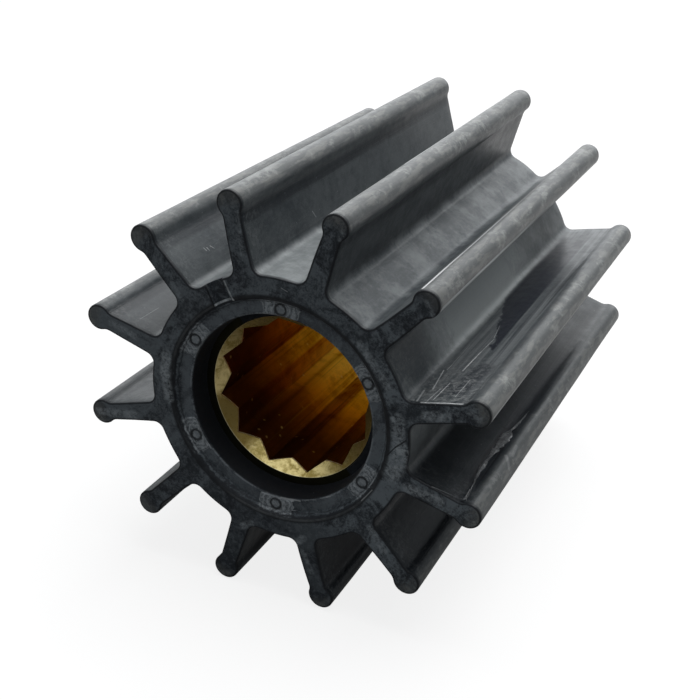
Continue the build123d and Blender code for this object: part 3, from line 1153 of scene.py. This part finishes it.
# %% [markdown]
# The cut teeth are pale brass with some tarnish and pits, darker where they face away from the light. Their
# edges carry a painted highlight, and the flat face outside them is dull.

# %% Brass: cut teeth and face
outer_edge_radius = 18.7

cut_metal = mix_colour(tarnish, (0.82, 0.66, 0.3, 1), (0.42, 0.31, 0.09, 1))
in_shade = larger(use(sector, Angle=-146.0, Half_Arc=27.0),
                  times(use(sector, Angle=-15.0, Half_Arc=45.0), 0.45))
cut_metal = lay(cut_metal, (0.2, 0.13, 0.03), in_shade, 0.9)
colour = mix_colour(in_bore, cut_metal, bore_metal)
tooth_edge_highlight = times(band(past_edge, 0.22, 0.22), remap(depth, 6.0, 4.0), 0.7)
outer_edge_highlight = times(band(radius, outer_edge_radius, 0.12), remap(depth, 1.0, 0.6), 0.45)
# Painted highlight along the edges of the teeth and the outer edge of the countersink
colour = lay(colour, (1.0, 0.9, 0.6), larger(tooth_edge_highlight, outer_edge_highlight))
colour = lay(colour, (0.018, 0.017, 0.009), remap(depth, 0.08, 0.02))
pits = use(specks, Density=1.1, Size=0.2, Share=0.4)
colour = lay(colour, (0.05, 0.038, 0.018), pits, 0.7, outside(in_bore))
tree.links.new(colour, metal["Base Color"])
print("coats: teeth and face")

# %% [markdown]
# The teeth are fairly smooth and the stained bore is duller. The reflections at a flat angle keep the tint of
# brass.

# %% Brass: gloss and relief
metal["Metallic"].default_value = 1.0
metal["Specular Tint"].default_value = (0.9, 0.6, 0.15, 1)
bore_gloss = remap(stain, 0.0, 1.0, 0.54, 0.66)
face_gloss = remap(tarnish, 0.0, 1.0, 0.36, 0.5)
gloss = add("ShaderNodeMix", {0: in_bore, 2: face_gloss, 3: bore_gloss}).outputs[0]
tree.links.new(gloss, metal["Roughness"])
bump = add("ShaderNodeBump", {"Strength": 0.15, "Distance": 0.1 * MM, "Height": tarnish})
tree.links.new(bump.outputs["Normal"], metal["Normal"])

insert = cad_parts["spline_insert"]
insert.data.materials.clear()
insert.data.materials.append(brass)
print("material:", brass.name, len(tree.nodes), "nodes")

# %% [markdown]
# The studio is a plain pale floor in a weak white surround, under soft light from above and behind. The floor
# shows as white to the camera and pale in reflections. It lights the rubber only a little from below, so the
# undersides stay dark.

# %% Floor
bpy.ops.object.select_all(action="DESELECT")
bpy.ops.mesh.primitive_plane_add(size=6)
floor = bpy.context.object
floor.name = "floor"

floor_paint = bpy.data.materials.new("floor")
floor_paint.use_nodes = True
tree = floor_paint.node_tree
paint = tree.nodes["Principled BSDF"]
paint.inputs["Base Color"].default_value = (0.18, 0.18, 0.18, 1)
paint.inputs["Roughness"].default_value = 1.0
paint.inputs["Specular IOR Level"].default_value = 0.0
rays = add("ShaderNodeLightPath").outputs
in_mirror = larger(rays["Is Glossy Ray"], rays["Is Transmission Ray"])
backwards = parts_of(add("ShaderNodeTexCoord").outputs["Object"])[1]
mirrored = times(in_mirror, remap(backwards, -0.05, 0.3, 0.08, 0.6))
seen = larger(times(rays["Is Camera Ray"], 0.84), mirrored)
glow = add("ShaderNodeEmission", {"Color": (1, 1, 1, 1), "Strength": seen})
both = add("ShaderNodeAddShader", {0: paint.outputs[0], 1: glow.outputs[0]})
tree.links.new(both.outputs[0], tree.nodes["Material Output"].inputs["Surface"])
floor.data.materials.append(floor_paint)
print("floor:", floor.name)

# %% [markdown]
# The surround is a world that is white to the camera and faint as a light. In reflections it is brighter
# behind and above, and weaker to the right, so that the blades there stay dark.

# %% Surround
studio = bpy.data.worlds.new("studio")
bpy.context.scene.world = studio
studio.use_nodes = True
tree = studio.node_tree
rays = add("ShaderNodeLightPath").outputs
in_mirror = larger(rays["Is Glossy Ray"], rays["Is Transmission Ray"])
rightward, backward, upward_way = parts_of(add("ShaderNodeTexCoord").outputs["Generated"])
pale_part = larger(remap(backward, -0.2, 0.5, 0.2, 1.0), remap(upward_way, 0.2, 0.6, 0.2, 1.0))
mirrored = times(in_mirror, pale_part, remap(rightward, 0.15, 0.5, 1.0, 0.4))
seen = larger(rays["Is Camera Ray"], mirrored)
surround = tree.nodes["Background"].inputs
tint = mix_colour(rays["Is Camera Ray"], (0.9, 0.96, 1, 1), (1, 1, 1, 1))
tree.links.new(tint, surround["Color"])
tree.links.new(larger(seen, 0.24), surround["Strength"])
print("world:", studio.name)

# %% [markdown]
# Two area lights do the lighting: one large above, and a weaker one behind.

# %% Lights
# Place, width, height and power of each softbox
softboxes = {
    "backdrop_light": ((-0.35, 1.2, 0.55), 1.6, 0.8, 5.0),
    "overhead_light": ((0.1, 0.3, 1.2), 1.2, 1.2, 19.0),
}
for name, (place, width, height, power) in softboxes.items():
    lamp_data = bpy.data.lights.new(name, "AREA")
    lamp_data.shape = "RECTANGLE"
    lamp_data.size, lamp_data.size_y, lamp_data.energy = width, height, power
    lamp = bpy.data.objects.new(name, lamp_data)
    lamp.location = place
    lamp.rotation_euler = (Vector((0, 0, 0.05)) - lamp.location).to_track_quat("-Z", "Y").to_euler()
    lamp.visible_camera = False
    bpy.context.scene.collection.objects.link(lamp)
bpy.context.scene.view_settings.view_transform = "Standard"
print("lights:", list(softboxes))
